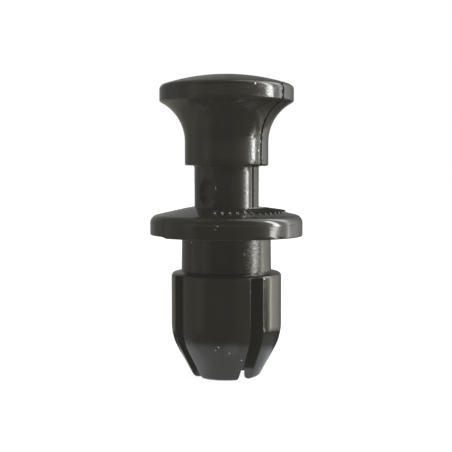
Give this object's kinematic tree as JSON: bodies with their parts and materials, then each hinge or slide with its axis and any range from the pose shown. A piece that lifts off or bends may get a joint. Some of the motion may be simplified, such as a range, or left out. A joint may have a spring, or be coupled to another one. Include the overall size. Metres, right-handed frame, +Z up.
{
  "type": "plastic push rivet",
  "caption": "Black plastic push rivet: a flanged grommet with split legs for a round panel hole, and a domed pin that is pushed in to lock them.",
  "frame": {"origin": "centre of the circle on which the four leg tips stand", "axes": "+Z up along the rivet's axis towards the pin's head, -Y towards the viewer of the picture"},
  "size_m": [0.0136, 0.0136, 0.0267],
  "materials": {
    "grommet_plastic": "black moulded nylon, glossy, fine mould marks",
    "pin_plastic": "black moulded acetal, glossy, with a parting line and a round mould mark"
  },
  "bodies": {
    "grommet": {"grommet": "grommet_plastic"},
    "pin": {"pin": "pin_plastic"}
  },
  "joints": [
    {"name": "pin_slide", "type": "slide", "parent": "grommet", "child": "pin", "axis": [0, 0, -1], "range_m": [0, 0.00366]}
  ]
}
